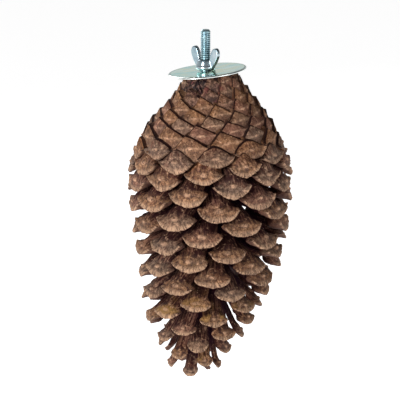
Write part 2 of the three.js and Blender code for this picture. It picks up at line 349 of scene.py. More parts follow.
def colour(red, green, blue):
    """A colour given in the 0 to 255 values that a screen shows."""
    linear = [((c / 255 + 0.055) / 1.055) ** 2.4 if c > 10 else c / 255 / 12.92 for c in (red, green, blue)]
    return (*linear, 1.0)


def dry_grain_group():
    """Blotches and specks of dry cone wood: a shade around one, and a height."""
    group = bpy.data.node_groups.new("Dry grain", "ShaderNodeTree")
    add_sockets(group, "INPUT", (("Place", "Vector"), ("Blotch Size", "Float"), ("Speck Size", "Float")))
    add_sockets(group, "OUTPUT", (("Shade", "Float"), ("Height", "Float")))
    tree = Tree(group)
    source = group.nodes.new("NodeGroupInput")
    sink = group.nodes.new("NodeGroupOutput")
    place, blotch_size, speck_size, _ = source.outputs
    blotch = tree.noise(place, blotch_size, 4.0, 0.6)
    speck = tree.noise(place, speck_size, 3.0, 0.7)
    blotched = tree.range(blotch, 0.3, 0.7, 0.72, 1.25)
    tree.wire(sink, {
        "Shade": tree.plus(blotched, tree.range(speck, 0.3, 0.7, -0.16, 0.16)),
        "Height": tree.plus(tree.times(blotch, 0.5), speck),
    })
    return group


def dry_grain(tree, group, blotch_size, speck_size):
    """Places the grain in a material and gives its shade and height."""
    node = tree.tree.nodes.new("ShaderNodeGroup")
    node.node_tree = group
    tree.wire(node, {"Place": tree.place(), "Blotch Size": blotch_size, "Speck Size": speck_size})
    return node.outputs["Shade"], node.outputs["Height"]


def raise_bumps(tree, shader, height, depth, strength=1.0):
    bump = tree.add("ShaderNodeBump", strength, depth)
    tree.wire(bump.node, {"Height": height})
    tree.wire(shader, {"Normal": bump})


def scale_wood(grain_group):
    """The scales: mottled faces with wrinkled pale margins, an oval boss with a painted highlight, and
    painted shade on the roofs, in the gaps, under the faces and darker still at the roots.
    """
    material, tree, shader = new_material("Cone scale")
    soft, span, times = tree.soft, tree.range, tree.times
    form = tree.attribute("form", "Vector")
    x, y, _ = tree.split(form)
    sigma, edge, under = tree.split(tree.attribute("rim", "Vector"))
    seed, number, reach, tone, torn = (
        tree.attribute(name) for name in ("seed", "number", "reach", "tone", "torn")
    )
    grain_shade, grain_height = dry_grain(tree, grain_group, 230.0, 800.0)
    opened = soft(number, 66.0, 100.0)

    def by_opening(shut_value, open_value):
        return span(opened, 0.0, 1.0, shut_value, open_value)

    # Wrinkles fan out from a point behind the boss, and fade towards it
    fan = tree.math("ARCTAN2", y, tree.plus(x, 0.30))
    radius = tree.vector("LENGTH", form)
    wrinkle = tree.noise(tree.combine(times(fan, 15.0), times(radius, 3.0), seed), 1.0, 3.0, 0.6)
    fibre = tree.noise(tree.combine(times(y, 19.0), times(x, 3.0), seed), 1.0, 2.0, 0.6)
    moved = tree.vector("ADD", tree.place(), tree.combine(seed, times(seed, 1.3), seed))
    mottle = tree.noise(moved, 480.0, 4.0, 0.7)
    patch = tree.noise(moved, 150.0, 2.0, 0.5)
    pit = tree.noise(moved, 900.0, 2.0, 0.5)
    cloud = tree.noise(moved, 60.0, 1.0, 0.5)

    light_face = tree.blend(soft(tone, 0.05, 0.4), colour(146, 118, 98), colour(166, 120, 84))
    light_face = tree.blend(soft(tone, 0.65, 0.95), light_face, colour(158, 112, 90))
    dark_face = tree.blend(tone, colour(58, 30, 22), colour(70, 40, 32))
    mottled = span(mottle, 0.38, 0.62, by_opening(0.36, 0.0), 1.0)
    face = tree.blend(mottled, dark_face, light_face)

    def paint(share, *shade_of_wood):
        """Lays a colour over the face, as thickly as the share says."""
        nonlocal face
        face = tree.blend(share, face, colour(*shade_of_wood))

    # Red-brown patches, yellowed lower scales and grey ageing
    paint(times(soft(patch, 0.5, 0.72), 0.55), 96, 54, 38)
    yellowed = times(soft(number, 140.0, 165.0), soft(tone, 0.55, 0.4),
                     soft(tone, 0.15, 0.3), soft(patch, 0.42, 0.6))
    paint(times(yellowed, 0.55), 182, 138, 68)
    paint(times(soft(cloud, 0.45, 0.7), 0.4), 88, 72, 60)

    # The roof behind the boss darkened by painted shade from the scale above, the pale margin and its folds
    dark = times(span(soft(number, 88.0, 118.0), 0.0, 1.0, 0.2, 0.9), span(number, 135.0, 165.0, 1.0, 0.75))
    paint(times(soft(sigma, 0.50, 0.14), dark), 50, 25, 27)
    paint(times(soft(sigma, 0.74, 0.96), by_opening(0.15, 0.78)), 194, 156, 125)
    paint(times(span(wrinkle, 0.52, 0.42), span(sigma, 0.68, 0.98, 0.0, 0.8)), 66, 38, 28)

    # Pale and dark fibres along the roof, and small painted highlights all over
    pale_lines = times(span(fibre, 0.54, 0.64), span(sigma, 0.6, 0.35, 0.0, 0.45))
    paint(times(pale_lines, opened), 150, 108, 88)
    dark_lines = times(span(fibre, 0.54, 0.44), span(sigma, 0.6, 0.35, 0.0, 0.8))
    paint(times(dark_lines, span(number, 94.0, 122.0, 0.35, 1.0)), 42, 20, 21)
    paint(times(soft(mottle, 0.56, 0.68), 0.6), 198, 156, 126)

    # The boss in its dark ring, a painted highlight on the ridge across it, painted shade on the lower facets
    # of the crown's pyramids, and the paler boss with a painted highlight
    oval = tree.vector("LENGTH", tree.vector("MULTIPLY", form, (1.7, 1.0, 0.3)))
    paint(times(soft(oval, 0.17, 0.125), soft(oval, 0.075, 0.11), 0.3), 66, 38, 28)
    # Painted highlight along the ridge across the boss
    ridge_highlight = times(soft(tree.math("ABSOLUTE", x), 0.07, 0.0), span(edge, 1.0, 0.7),
                  by_opening(0.42, 0.12), span(mottle, 0.42, 0.58, 0.25, 1.0))
    paint(ridge_highlight, 186, 148, 120)
    # Painted shade on the lower facets of the crown's pyramids
    paint(times(soft(x, 0.0, 0.14), by_opening(0.45, 0.0)), 84, 52, 40)
    # The boss is paler wood, with a painted highlight on it
    boss = times(soft(oval, 0.15, 0.04), span(mottle, 0.36, 0.58, 0.2, 1.0))
    paint(times(boss, by_opening(0.5, 0.72)), 206, 162, 130)
    paint(times(span(pit, 0.58, 0.66), 0.7), 38, 16, 14)

    # Between the shut crown and the open scales some roofs show ochre, where they were covered for long
    newly = times(soft(number, 80.0, 92.0), soft(number, 118.0, 102.0))
    bare = times(soft(sigma, 0.26, 0.04), span(tone, 0.45, 0.9))
    ochre = times(newly, bare, soft(reach, 0.55, 0.9), span(fibre, 0.36, 0.6, 0.1, 1.0))
    paint(times(ochre, 0.62), 176, 116, 70)

    # Painted shade: thin dark lines in the gaps between the crown's scales, and darker colour under and
    # behind the faces
    loose_rim = times(soft(sigma, 0.7, 0.95), soft(number, 80.0, 90.0))
    gap_shade = times(soft(edge, 0.95, 1.0), span(number, 90.0, 110.0, 1.0, 0.0),
                  tree.minus(1.0, loose_rim), soft(under, 0.45, 0.1), soft(reach, 0.82, 1.0))
    paint(gap_shade, 26, 12, 12)
    # Painted shade on the undersides of the scales
    paint(times(under, by_opening(0.4, 0.75)), 78, 42, 36)
    # Painted shade on the plates and roots deep between the scales, except where the roof shows ochre
    deep_shade = soft(reach, by_opening(0.78, 0.99), 0.6)
    paint(times(deep_shade, tree.minus(1.0, ochre)), 50, 22, 36)

    # The torn patch: painted shade in its dark hollows, pale shreds and some red; the scales beside it take
    # the same paint, partly as painted shadow
    shreds = tree.blend(soft(mottle, 0.47, 0.61), colour(26, 14, 22), colour(122, 90, 80))
    shreds = tree.blend(soft(patch, 0.56, 0.66), shreds, colour(98, 52, 54))
    face = tree.blend(times(torn, 0.9), face, shreds)

    shading = times(grain_shade, span(number, 60.0, 112.0, 1.06, 0.92))
    tree.wire(shader, {
        "Base Color": tree.scaled(face, shading), "Roughness": span(mottle, 0.3, 0.7, 0.62, 0.9),
        "Specular IOR Level": span(sigma, 0.15, 0.6, 0.03, 0.3),
    })
    wrinkled = times(wrinkle, span(sigma, 0.3, 0.9, 0.2, 1.0))
    height = tree.plus(tree.plus(wrinkled, times(mottle, 0.8)), times(grain_height, 0.4))
    raise_bumps(tree, shader, height, 1.2 * MM)
    return material


def rachis_wood(grain_group):
    """The core, dark and purple between the scales."""
    material, tree, shader = new_material("Cone core")
    _, height = dry_grain(tree, grain_group, 260.0, 1300.0)
    base = tree.blend(tree.soft(height, 0.6, 1.0), colour(58, 24, 34), colour(92, 58, 56))
    tree.wire(shader, {"Base Color": base, "Roughness": 0.9})
    raise_bumps(tree, shader, height, 1.2 * MM)
    return material


def zinc_plate(name, tint, bright, stain, rough_low, rough_high, scratches, rim=0.0, valley=0.0):
    """Bright zinc plating: cloudy tints with a streaky stain, fine scratches and a little dulling; on a
    thread, painted shade in its grooves; on a rolled edge, a painted dark line and a painted highlight.
    """
    material, tree, shader = new_material(name)
    place = tree.place()
    cloud = tree.noise(place, 90.0, 3.0, 0.55)
    base = tree.blend(tree.soft(cloud, 0.35, 0.65), colour(*tint), colour(*bright))
    streaks = tree.noise(tree.vector("MULTIPLY", place, (0.35, 1.0, 1.0)), 260.0, 2.0, 0.5)
    base = tree.blend(tree.times(tree.soft(streaks, 0.46, 0.64), 0.75), base, colour(*stain))
    x, y, z = tree.split(place)
    if valley:
        # Painted shade in the thread's grooves, up to its chamfered end
        radius = tree.vector("LENGTH", tree.combine(x, y))
        groove_shade = tree.times(tree.soft(radius, valley + 0.36 * MM, valley + 0.08 * MM),
                            tree.math("LESS_THAN", z, (BOLT_TOP - 1.3) * MM))
        base = tree.blend(groove_shade, base, colour(88, 118, 130))
    if rim:
        # A dark line of painted shade just inside the rolled edge, and a painted highlight on the edge itself
        radius = tree.vector("LENGTH", tree.combine(tree.minus(x, WASHER_SHIFT * MM), y))
        rim_shade_line = tree.times(tree.soft(radius, rim - 0.9 * MM, rim), tree.soft(radius, rim + 0.5 * MM, rim),
                          tree.range(streaks, 0.3, 0.5, 0.3, 1.0))
        base = tree.blend(rim_shade_line, base, colour(52, 68, 72))
        base = tree.blend(tree.soft(radius, rim + 0.2 * MM, rim + 0.6 * MM), base, colour(244, 252, 250))
    roughness = tree.range(cloud, 0.3, 0.7, rough_low, rough_high)
    tree.wire(shader, {"Base Color": base, "Roughness": roughness, "Metallic": 1.0})
    raise_bumps(tree, shader, tree.noise(place, 700.0, 2.0, 0.6), 0.06 * MM, scratches)
    return material


# The cone

def scale_bearing(number):
    n = number - FRONT_SCALE
    return FRONT_BEARING + GOLDEN_TURN * n + TWIST * n + TWIST_CHANGE * n * n


def is_torn(number):
    away = (scale_bearing(number) - TORN_BEARING + 180) % 360 - 180
    return abs(away) < TORN_SPREAD and along(SCALE_LEVEL, number) < TORN_LEVEL


def torn_and_shadow_share(number):
    """How dark and frayed a scale is: wholly so in the torn patch, less so just beside it, where the
    darkening is partly painted shadow.
    """
    away = abs((scale_bearing(number) - FRAYED_SHADOW_BEARING + 180) % 360 - 180)
    near = 1 - max(away / FRAYED_SHADOW_SPREAD, along(SCALE_LEVEL, number) / FRAYED_SHADOW_LEVEL)
    return 1.0 if is_torn(number) else 0.8 * float(smooth(2.2 * near))


def on_centre_line(level):
    return np.array((along(CENTRE_LINE, level), 0.0, -level))


def outward_of(degrees):
    bearing = math.radians(degrees)
    return np.array((math.sin(bearing), -math.cos(bearing), 0.0))


def boss_distance(number):
    return along(CONE_RADIUS, along(SCALE_LEVEL, number)) * along(BOSS_REACH, number)


def boss_place(number):
    middle = on_centre_line(along(SCALE_LEVEL, number))
    return middle + outward_of(scale_bearing(number)) * boss_distance(number)


def cell_diagonals(number):
    """The down and sideways diagonals of a scale's cell in the shut crown, its lower end turned inwards."""
    def step_to(step):
        before = number - step if number >= step else number
        return (boss_place(number + step) - boss_place(before)) / (2 if number >= step else 1)

    near, far = (step_to(step) for step in NEIGHBOURS)
    downward, across = (near + far) * CELL_FILL, (near - far) * CELL_FILL
    normal = np.cross(downward, across)
    inward = -normal / np.linalg.norm(normal) * np.linalg.norm(downward)
    return downward * math.cos(CELL_TILT) + inward * math.sin(CELL_TILT), across


def scale_places():
    """Where every scale stands, as the cone's rule gives it: one dictionary for each, in metres."""
    random = draws(11)
    down = np.array((0.0, 0.0, -1.0))
    places = []
    for number in range(SCALE_COUNT):
        vary = [next(random) * 2 - 1 for _ in range(3)]
        level = along(SCALE_LEVEL, number)
        width = along(SCALE_WIDTH, number) * (1 + vary[0] * 0.05)
        outward = outward_of(scale_bearing(number) + vary[1] * 1.2)
        sideways = np.array((-outward[1], outward[0], 0.0))

        def sloped(degrees):
            angle = math.radians(degrees)
            return outward * math.cos(angle) + down * math.sin(angle)

        face = sloped(along(FACE_SLOPE, number) + vary[2] * 3) * width
        side = sideways * width
        shut = 1 - float(smooth((number - LAST_SHUT) / (FIRST_OPEN - LAST_SHUT)))
        if shut > 0:
            downward, across = cell_diagonals(number)
            face = face * (1 - shut) + downward * shut
            side = side * (1 - shut) + across * shut
        normal = np.cross(face, side)
        normal = normal / np.linalg.norm(normal) * width
        plate_slope = along(PLATE_SLOPE, number)
        distance = boss_distance(number) * (TORN_REACH if is_torn(number) else 1)
        run = distance - along(RACHIS_RADIUS, level) * ROOT_SHARE
        root_level = level - run * math.tan(math.radians(plate_slope))
        root_radius = along(RACHIS_RADIUS, root_level) * ROOT_SHARE
        places.append({
            "number": number,
            "boss": (on_centre_line(level) + outward * distance) * MM,
            "root": (on_centre_line(root_level) + outward * root_radius) * MM,
            "face": face * MM,
            "side": side * MM,
            "normal": normal * MM,
            "root_side": sideways * width * MM,
            "root_up": sloped(plate_slope - 90) * width * MM,
            "width": width * MM,
        })
    return places


# Shapes of a scale, in units of its width; x runs down its face from the boss, z stands off the face
SHUT = dict(
    columns=20, plate_rows=4, face_rows=12, rear=0.49, rear_cut=0.96, rear_power=1.1, front=0.49,
    front_power=1.15, front_round=1.0, low=0.0, rear_half=0.44, half=0.5, root_half=0.16, keel_drop=0.085,
    margin_drop=0.14, roof_drop=0.045, edge=0.10, wave=0.004, jag=0.0, round=0.02, block=0.0, spread=0.85,
)
UPPER = dict(
    SHUT, columns=28, plate_rows=6, face_rows=14, rear=0.37, rear_cut=0.80, rear_power=1.5, front=0.30,
    front_power=1.8, front_round=0.75, rear_half=0.42, root_half=0.20, keel_drop=0.10, margin_drop=0.02,
    roof_drop=0.07, edge=0.12, wave=0.008, round=0.03, block=0.22, spread=0.5,
)
OPEN = dict(
    UPPER, columns=32, plate_rows=7, rear=0.33, rear_cut=0.40, front=0.27, front_power=2.2, front_round=0.68,
    low=-0.01, rear_half=0.33, root_half=0.21, keel_drop=0.12, margin_drop=0.04, roof_drop=0.12, edge=0.09,
    wave=0.009, block=0.25, spread=0.4,
)
HOODED = dict(
    OPEN, columns=28, plate_rows=8, rear=0.44, rear_cut=0.38, front=0.26, front_power=2.1, front_round=0.75,
    low=0.06, rear_half=0.34, half=0.49, root_half=0.20, keel_drop=0.13, margin_drop=0.06, roof_drop=0.07,
    wave=0.010, block=0.18, spread=0.9,
)
TIP = dict(HOODED, rear=0.50, front=0.30, low=0.02, half=0.44, root_half=0.24, block=0.08)
TORN = dict(
    SHUT, plate_rows=6, face_rows=4, rear=0.50, rear_cut=0.30, rear_power=1.4, front=0.06, front_power=2.0,
    front_round=0.5, low=-0.10, rear_half=0.42, root_half=0.24, keel_drop=0.06, margin_drop=0.10,
    roof_drop=0.06, wave=0.03, jag=0.14,
)
PLATE_BACK = 0.35


def scale_rows(style, random):
    """Cross rows of a scale from its root to its margin: (x, y, upper, lower, reach) and (sigma, edge)."""
    s = style
    t = np.linspace(-1, 1, s["columns"] + 1)
    a = np.abs(t)

    def wobble(cycles, amount):
        phases = random.uniform(0, 2 * math.pi, 3)
        sizes = random.uniform(0.4, 1.0, 3)
        return amount * sum(
            size * np.sin(math.pi * t * cycles * (k + 1) / 2 + phase)
            for k, (size, phase) in enumerate(zip(sizes, phases))
        ) / 1.6

    lopsided = random.uniform(-0.05, 0.05)
    front_scale = random.uniform(0.92, 1.08)
    front_power = s["front_power"] * random.uniform(0.75, 1.25)
    keel_scale = random.uniform(0.85, 1.2)
    bulge = (1 - a ** front_power).clip(0) ** s["front_round"]
    x_front = s["low"] + (s["front"] - s["low"]) * front_scale * bulge
    x_front = x_front + lopsided * t * (1 - a) + wobble(5, 0.010)
    if s["jag"]:
        x_front = x_front + random.uniform(-s["jag"], s["jag"], t.size)
    x_rear = -s["rear"] * (1 - s["rear_cut"] * a ** s["rear_power"])
    x_rear = np.minimum(x_rear, x_front - 0.02)
    x_keel = -0.04 * a
    z_keel = -s["keel_drop"] * keel_scale * a ** 1.35
    z_margin = -s["margin_drop"] * (1 - 0.25 * t * t) + wobble(4, 0.008)
    ripple = s["wave"] * np.sin(2 * math.pi * (t * 4.3 + wobble(2, 0.25)) + random.uniform(0, 6.28))
    roof_drop = s["roof_drop"] * (0.6 + 0.4 * a)
    root_z = -0.055 - 0.06 * a

    def underside(upper):
        return np.full_like(t, min(upper[0], upper[-1]) - s["edge"]) - 0.015 * (1 - t * t)

    rows = []
    for reach in np.linspace(0, 1, s["plate_rows"] + 1)[:-1]:
        half = s["root_half"] + (s["rear_half"] - s["root_half"]) * reach ** s["spread"]
        upper = root_z + (z_keel * 0.9 - roof_drop - root_z) * smooth(reach)
        x = x_rear - PLATE_BACK * (1 - reach)
        rows.append((x, t * half, upper, underside(upper), reach, 0.0, np.ones_like(t)))
    for sigma in np.linspace(0, 1, s["face_rows"] + 1):
        x = x_rear + (x_front - x_rear) * sigma
        y = t * (s["rear_half"] + (s["half"] - s["rear_half"]) * smooth(sigma * 1.5))
        forward = ((x - x_keel) / (x_front - x_keel + 1e-6)).clip(0, 1)
        back = ((x_keel - x) / (x_keel - x_rear + 1e-6)).clip(0, 1)
        upper = z_keel * (1 - forward) + z_margin * forward ** 1.25
        upper = upper - roof_drop * back - 0.1 * z_keel * back + ripple * forward ** 1.5
        # The boss, the groove round it and the prickle's stump on it
        oval = np.hypot(x * 1.5, y)
        upper = upper + 0.034 * np.exp(-(oval / 0.075) ** 2) - 0.014 * np.exp(-((oval - 0.14) / 0.035) ** 2)
        upper = upper + 0.016 * np.exp(-((x - 0.02) ** 2 + y * y) / 0.0005)
        share = smooth(sigma) ** 2
        lower = underside(upper) * (1 - share) + (z_margin - s["edge"] * 0.9) * share
        lower = lower - s["block"] * math.sin(math.pi * sigma) * (1 - 0.6 * a * a)
        lower = np.minimum(lower, upper - s["edge"] * 0.6)
        rows.append((x, y, upper, lower, 1.0, sigma, np.maximum(abs(2 * sigma - 1), a)))
    return rows


def scale_form(name, style, seed):
    """One scale's closed skin. Its vertices keep their place on the scale and their reach from the root."""
    rows = scale_rows(style, np.random.default_rng(seed))
    columns = style["columns"] + 1
    size = 2 * columns + 2
    rounding = style["round"]
    points = []
    reaches = []
    rims = []
    for x, y, upper, lower, reach, sigma, edge in rows:
        right = (x[-1], y[-1] + rounding, (upper[-1] + lower[-1]) / 2)
        left = (x[0], y[0] - rounding, (upper[0] + lower[0]) / 2)
        points += [*zip(x, y, upper), right, *zip(x[::-1], y[::-1], lower[::-1]), left]
        reaches += [reach] * size
        rims += [(sigma, e, 0.0) for e in edge] + [(sigma, 1.0, 0.5)]
        rims += [(sigma, e, 1.0) for e in edge[::-1]] + [(sigma, 1.0, 0.5)]
    last = (len(rows) - 1) * size
    faces = [tuple(range(size))]
    for start in range(0, last, size):
        after = start + size
        faces += [(start + i, start + (i + 1) % size, after + (i + 1) % size, after + i) for i in range(size)]

    # The margin is closed by a rounded nose between the last row's upper and lower line
    nose = len(points)
    points += list(zip(x[1:-1] + rounding, y[1:-1], (upper[1:-1] + lower[1:-1]) / 2))
    reaches += [1.0] * (columns - 2)
    rims += [(1.0, 1.0, 0.5)] * (columns - 2)
    middle = [last + size - 1] + [nose + i for i in range(columns - 2)] + [last + columns]
    below = [last + size - 2 - i for i in range(columns)]
    for i in range(columns - 1):
        faces.append((last + i, last + i + 1, middle[i + 1], middle[i]))
        faces.append((middle[i], middle[i + 1], below[i + 1], below[i]))
    mesh = mesh_of(name, points, faces)
    tidy_normals(mesh)
    store(mesh, "form", "FLOAT_VECTOR", points)
    store(mesh, "reach", "FLOAT", reaches)
    store(mesh, "rim", "FLOAT_VECTOR", rims)
    return mesh


def scale_tree():
    """Stands one of the forms at each point, bends it from its root to its boss, and warps it a little."""
    tree, source, sink = geometry_tree("Scales on a cone", (
        ("Forms", "Collection"), ("Root Depth", "Float"), ("Warp", "Float"), ("Warp Size", "Float"),
        ("Ceiling Slope", "Float"), ("Ceiling Drop", "Float"), ("Wood", "Material"),
    ))
    forms = tree.add("GeometryNodeCollectionInfo", source["Forms"], True, True)
    standing = tree.add("GeometryNodeInstanceOnPoints", source["Geometry"], None, forms, True,
                        tree.read("form_number", "INT"))
    real = tree.add("GeometryNodeRealizeInstances", standing)
    form = tree.read("form", "FLOAT_VECTOR")
    x, y, z = tree.split(form)

    def standing_at(origin, **shares):
        total = tree.read(origin, "FLOAT_VECTOR")
        for axis, share in shares.items():
            total = tree.vector("ADD", total, tree.scaled(tree.read(axis, "FLOAT_VECTOR"), share))
        return total

    on_face = standing_at("boss", face=x, side=y, normal=z)
    at_root = standing_at("root", root_side=y, root_up=tree.plus(z, source["Root Depth"]))
    bent = tree.add("ShaderNodeMix", tree.read("reach"), at_root, on_face, data_type="VECTOR")
    placed = tree.add("GeometryNodeSetPosition", real, None, bent)

    # A cloud of noise, another for each scale, pushes its skin about
    seed = tree.read("seed")
    drift = tree.combine(seed, tree.times(seed, 1.7), seed)
    cloud = tree.noise(tree.vector("ADD", form, drift), source["Warp Size"], 2.0, 0.5, out="Color")
    push = tree.vector("SUBTRACT", cloud, (0.5, 0.5, 0.5))
    push = tree.scaled(push, tree.times(tree.read("width"), source["Warp"]))
    warped = tree.add("GeometryNodeSetPosition", placed, None, None, push)

    # Nothing rises past the leaning washer
    x, y, z = tree.split(tree.add("GeometryNodeInputPosition"))
    ceiling = tree.minus(tree.times(x, source["Ceiling Slope"]), source["Ceiling Drop"])
    below = tree.combine(x, y, tree.math("MINIMUM", z, ceiling))
    trimmed = tree.add("GeometryNodeSetPosition", warped, None, below)
    finish_geometry(tree, trimmed, source["Wood"], sink)
    return tree.tree


SCALE_VECTORS = ("boss", "root", "face", "side", "normal", "root_side", "root_up")


def points_mesh(name, places, forms, seed):
    """One point for each scale, with what the tree reads there."""
    random = np.random.default_rng(seed)
    mesh = mesh_of(name, [place["boss"] for place in places], [])
    for key in SCALE_VECTORS:
        store(mesh, key, "FLOAT_VECTOR", [place[key] for place in places])
    count = len(places)
    for key in ("width", "number"):
        store(mesh, key, "FLOAT", [place[key] for place in places])
    store(mesh, "seed", "FLOAT", random.uniform(0, 50, count))
    store(mesh, "tone", "FLOAT", random.uniform(0, 1, count))
    # The torn patch, and beside it frayed scales darkened partly by painted shadow
    store(mesh, "torn", "FLOAT", [torn_and_shadow_share(place["number"]) for place in places])
    store(mesh, "form_number", "INT", random.integers(0, forms, count))
    return mesh


def grow_scales(name, places, style, forms, seed, warp):
    """One piece of scales that share a style, each its own size, bend and warp."""
    shelf = bpy.data.collections.new(name + " forms")
    bpy.context.scene.collection.children.link(shelf)
    for i in range(forms):
        shelf.objects.link(bpy.data.objects.new(f"{name}_form_{i:02d}", scale_form(name, style, seed + i)))
    obj = grown(name, points_mesh(name, places, forms, seed), trees()["scales"], {
        "Forms": shelf, "Root Depth": 0.13, "Warp": warp, "Warp Size": 2.4,
        "Ceiling Slope": -math.tan(WASHER_LEAN), "Ceiling Drop": 0.52 * MM, "Wood": materials()["scale"],
    })
    for form in list(shelf.objects):
        bpy.data.objects.remove(form)
    bpy.data.collections.remove(shelf)
    for used in (*SCALE_VECTORS, "width", "form_number"):
        attribute = obj.data.attributes.get(used)
        if attribute:
            obj.data.attributes.remove(attribute)
    shade(obj, 50)
    dress(obj, "cone", "cone_wood", "pine_cone")


def dress(obj, body, slot, *nodes):
    """A finished piece rides on its body and stands for its CAD node, which it hides."""
    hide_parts(*nodes)
    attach(obj, body)


def finished_piece(name, mesh, material, angle, *fitting):
    """A piece from its mesh, in one material and with smooth faces up to an angle, dressed for its body."""
    obj = piece(name, mesh)
    obj.data.materials.append(materials()[material])
    shade(obj, angle)
    dress(obj, *fitting)


# Trees and materials are made once, when first asked for
_made = {}


def trees():
    if "scales" not in _made:
        _made["scales"] = scale_tree()
        _made["thread"] = thread_tree()
    return _made


def materials():
    if "scale" not in _made:
        grain = dry_grain_group()
        _made["scale"] = scale_wood(grain)
        _made["core"] = rachis_wood(grain)
        _made["stud"] = zinc_plate(
            "Zinc stud", (146, 178, 186), (180, 204, 208), (132, 166, 180), 0.26, 0.38, 0.05,
            valley=2.65 * MM)
        _made["nut"] = zinc_plate(
            "Zinc wing nut", (168, 190, 198), (202, 212, 218), (150, 172, 184), 0.14, 0.26, 0.2)
        _made["washer"] = zinc_plate(
            "Zinc washer", (172, 236, 230), (226, 255, 248), (232, 244, 206), 0.10, 0.22, 0.2,
            rim=(WASHER_RADIUS - 1.1) * MM)
    return _made


def tube_faces(rings, sides):
    """The quads between rings of points, each ring closed on itself."""
    return [
        (j * sides + i, j * sides + (i + 1) % sides, (j + 1) * sides + (i + 1) % sides, (j + 1) * sides + i)
        for j in range(rings) for i in range(sides)
    ]


def rachis_mesh(rows=90, sides=40):
    """The core as a lumpy tube, closed at both ends, its top pressed down clear of the washer."""
    random = np.random.default_rng(5)
    top, end = 0.6, CORE_RADIUS[-1][0]
    lumps = random.uniform(-0.6, 0.6, (rows + 1, sides))
    points = []
    for j in range(rows + 1):
        level = top + (end - top) * j / rows
        for i in range(sides):
            radius = max(along(CORE_RADIUS, level) + lumps[j, i], 0.5)
            point = on_centre_line(level) + radius * outward_of(360 * i / sides)
            if level < 12:
                ceiling = -math.tan(WASHER_LEAN) * point[0] - 0.45
                point[2] = min(point[2], ceiling - 0.15 * j)
            points.append(point * MM)
    ends = [tuple(range(sides)), tuple(rows * sides + i for i in range(sides))]
    mesh = mesh_of("cone_rachis", points, ends + tube_faces(rows, sides))
    tidy_normals(mesh)
    return mesh


# The hardware

def thread_tree():
    """Rolls a flat grid into a threaded bar. The grid's X runs round the bar and its Y along it."""
    sizes = ("Low", "High", "Crest", "Depth", "Pitch", "Top Chamfer", "Point Length", "Ends")
    inputs = [(size, "Float") for size in sizes] + [("Metal", "Material")]
    tree, source, sink = geometry_tree("Threaded bar", inputs)
    x, y, _ = tree.split(tree.add("GeometryNodeInputPosition"))
    turn, rise = tree.plus(x, 0.5), tree.plus(y, 0.5)
    share = tree.range(rise, source["Ends"], tree.minus(1.0, source["Ends"]))
    z = tree.range(share, 0.0, 1.0, source["Low"], source["High"])
    phase = tree.math("FRACT", tree.minus(tree.math("DIVIDE", z, source["Pitch"]), turn))
    flank = tree.soft(tree.math("ABSOLUTE", tree.minus(tree.times(phase, 2.0), 1.0)), 0.38, 0.94)
    threaded = tree.minus(source["Crest"], tree.times(source["Depth"], flank))
    chamfered = tree.plus(tree.minus(source["Crest"], source["Top Chamfer"]), tree.minus(source["High"], z))
    point_share = tree.math("DIVIDE", tree.minus(z, source["Low"]), source["Point Length"])
    pointed = tree.times(source["Crest"], tree.plus(0.1, point_share))
    radius = tree.math("MINIMUM", tree.math("MINIMUM", threaded, chamfered), pointed)
    # The grid's first and last rows close the ends on the axis
    inside = tree.times(tree.math("GREATER_THAN", rise, 0.0001), tree.math("LESS_THAN", rise, 0.9999))
    radius = tree.times(radius, inside)
    angle = tree.times(turn, 2 * math.pi)
    place = tree.combine(tree.times(radius, tree.math("COSINE", angle)),
                         tree.times(radius, tree.math("SINE", angle)), z)
    rolled = tree.add("GeometryNodeSetPosition", source["Geometry"], None, place)
    closed = tree.add("GeometryNodeMergeByDistance", rolled, None, 0.002 * MM)
    finish_geometry(tree, closed, source["Metal"], sink)
    return tree.tree


def threaded_bar(name, low, high, crest, depth, pitch, chamfer, point_length, sides, rows_per_turn):
    """One threaded length of the hanger bolt, sizes in millimetres."""
    rows = int((high - low) / pitch * rows_per_turn)
    points = [(i / sides - 0.5, j / rows - 0.5, 0.0) for j in range(rows + 1) for i in range(sides + 1)]
    step = sides + 1
    faces = [(j * step + i, j * step + i + 1, (j + 1) * step + i + 1, (j + 1) * step + i)
             for j in range(rows) for i in range(sides)]
    sizes = {
        "Low": low, "High": high, "Crest": crest, "Depth": depth, "Pitch": pitch, "Top Chamfer": chamfer,
        "Point Length": point_length,
    }
    values = {label: size * MM for label, size in sizes.items()}
    obj = grown(name, mesh_of(name, points, faces), trees()["thread"],
                {**values, "Ends": 1.0 / rows, "Metal": materials()["stud"]})
    tidy_normals(obj.data)
    shade(obj, 60)
    dress(obj, "cone", "zinc_plate", "threaded_stud")


def turned(name, profile, segments):
    """A closed profile of (radius, height) points turned round Z."""
    points = []
    for i in range(segments):
        angle = 2 * math.pi * i / segments
        points += [(r * math.cos(angle), r * math.sin(angle), z) for r, z in profile]
    size = len(profile)
    faces = []
    for i in range(segments):
        a, b = i * size, (i + 1) % segments * size
        faces += [(a + k, b + k, b + (k + 1) % size, a + (k + 1) % size) for k in range(size)]
    mesh = mesh_of(name, points, faces)
    tidy_normals(mesh, 1e-5)
    return mesh


def washer_mesh():
    """The fender washer: a punched hole with a soft burr, a rolled rim and a slightly dished face."""
    hole, face, rim = WASHER_HOLE, WASHER_THICKNESS, WASHER_RADIUS
    roll = 1.2
    half = face / 2
    profile = [(hole, 0.15), (hole + 0.15, 0.0), (rim - roll, 0.0)]
    for start, end in ((0.3, 1.57), (1.8, 3.0)):
        turns = np.linspace(start, end, 6)
        profile += [(rim - roll + roll * math.sin(a), half - half * math.cos(a)) for a in turns]
    profile += [(rim - 1.5, face), (rim - 2.2, face - 0.05), (rim - 2.9, face - 0.02), (rim - 6, face)]
    profile += [(hole + 3, face), (hole + 0.6, face), (hole + 0.25, face - 0.05), (hole, face - 0.3)]
    mesh = turned("washer_plate", profile, 160)
    mesh.transform(Matrix.Diagonal((MM, MM, MM, 1)))
    mesh.transform(Matrix.Translation((WASHER_SHIFT * MM, 0, 0)) @ Matrix.Rotation(WASHER_LEAN, 4, "Y"))
    return mesh


